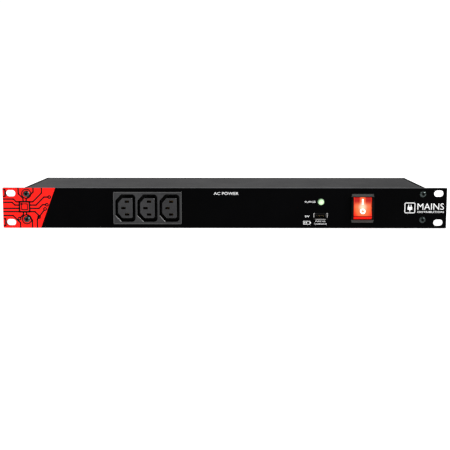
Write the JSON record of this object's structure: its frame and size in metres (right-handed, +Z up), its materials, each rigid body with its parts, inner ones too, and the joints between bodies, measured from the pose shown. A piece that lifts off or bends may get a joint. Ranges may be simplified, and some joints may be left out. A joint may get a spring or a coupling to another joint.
{
  "type": "rack power strip",
  "caption": "One-unit rack mains distributor: slotted panel, outlets front and rear, lit rocker switch, charging socket, inlet and reset breaker.",
  "frame": {"origin": "centre of the four rack slots on the face of the panel that meets the rack rails", "axes": "+X to the right seen from the front, front faces -Y, +Z up"},
  "size_m": [0.4826, 0.1641, 0.044],
  "materials": {
    "panel_black": "black satin powder coat with a red printed wedge",
    "case_black": "fine-textured black powder coat",
    "screw_black": "black oxide steel",
    "screw_nickel": "bright nickel-plated steel",
    "inlet_plastic": "moulded black thermoplastic",
    "outlet_plastic": "moulded dark grey thermoplastic",
    "pin_nickel": "nickel plate",
    "breaker_plastic": "moulded black phenolic",
    "nut_black": "black chromate zinc",
    "spring_steel": "plain spring steel",
    "brass_plate": "bare brass strip",
    "switch_plastic": "moulded black nylon",
    "rocker_red": "translucent red polycarbonate",
    "lamp_glass": "clear lamp glass",
    "lens_clear": "diffused clear acrylic",
    "gold_contact": "gold flash",
    "board_green": "glass-epoxy board with green mask",
    "component_dark": "moulded black epoxy",
    "varistor_blue": "blue epoxy dip",
    "capacitor_yellow": "yellow plastic box",
    "ferrite": "dark grey ferrite",
    "copper_wire": "enamelled copper",
    "tinned_copper": "tin plate",
    "connector_red": "red vinyl sleeve",
    "wire_brown": "brown PVC insulation",
    "wire_blue": "blue PVC insulation",
    "wire_green": "green PVC insulation",
    "wire_grey": "grey PVC insulation"
  },
  "bodies": {
    "case": {"board_screws": "screw_nickel", "board_spacers": "brass_plate", "breaker_body": "breaker_plastic", "breaker_nut": "nut_black", "breaker_spring": "spring_steel", "breaker_terminals": "brass_plate", "chassis_tray": "case_black", "cover_rear_screws": "screw_nickel", "cover_side_screws": "screw_black", "earth_nuts": "screw_nickel", "earth_rings": "tinned_copper", "earth_studs": "screw_nickel", "earth_wires": "wire_green", "front_earth_bus": "brass_plate", "front_line_bus": "brass_plate", "front_neutral_bus": "brass_plate", "front_outlet_back": "outlet_plastic", "front_outlet_housing": "outlet_plastic", "front_panel": "panel_black", "front_panel_screws": "screw_black", "inlet_body": "inlet_plastic", "inlet_earth_pin": "pin_nickel", "inlet_line_neutral_pins": "pin_nickel", "inlet_screws": "screw_black", "led_lamp": "lens_clear", "led_lens": "lens_clear", "line_wires": "wire_brown", "neutral_wires": "wire_blue", "rear_a_earth_bus": "brass_plate", "rear_a_line_bus": "brass_plate", "rear_a_neutral_bus": "brass_plate", "rear_a_outlet_back": "outlet_plastic", "rear_a_outlet_housing": "outlet_plastic", "rear_b_earth_bus": "brass_plate", "rear_b_line_bus": "brass_plate", "rear_b_neutral_bus": "brass_plate", "rear_b_outlet_back": "outlet_plastic", "rear_b_outlet_housing": "outlet_plastic", "signal_wires": "wire_grey", "spade_connectors": "connector_red", "surge_board": "board_green", "surge_capacitors": "capacitor_yellow", "surge_choke_core": "ferrite", "surge_choke_windings": "copper_wire", "surge_varistors": "varistor_blue", "switch_housing": "switch_plastic", "switch_terminals": "brass_plate", "terminal_block": "board_green", "top_cover": "case_black", "usb_board": "board_green", "usb_board_parts": "component_dark", "usb_contacts": "gold_contact", "usb_shell": "pin_nickel", "usb_tongue": "switch_plastic"},
    "rocker": {"switch_rocker": "rocker_red", "switch_plungers": "brass_plate", "switch_springs": "spring_steel", "switch_lamp": "lamp_glass"},
    "contact_levers": {"switch_levers": "brass_plate"},
    "reset_button": {"breaker_button": "breaker_plastic"}
  },
  "joints": [
    {"name": "rocker_tilt", "type": "hinge", "parent": "case", "child": "rocker", "pos_m": [0.15, -0.0021, 0], "axis": [1, 0, 0], "range_deg": [0, 24]},
    {"name": "contact_lever_tilt", "type": "hinge", "parent": "case", "child": "contact_levers", "pos_m": [0.15, 0.0086, 0], "axis": [1, 0, 0], "range_deg": [-12, 0]},
    {"name": "breaker_reset", "type": "slide", "parent": "case", "child": "reset_button", "axis": [0, 1, 0], "range_m": [0, 0.004], "deforming": ["breaker_spring"]}
  ],
  "couplings": [
    {"joint": "contact_lever_tilt", "follows": "rocker_tilt", "ratio": -0.5}
  ]
}
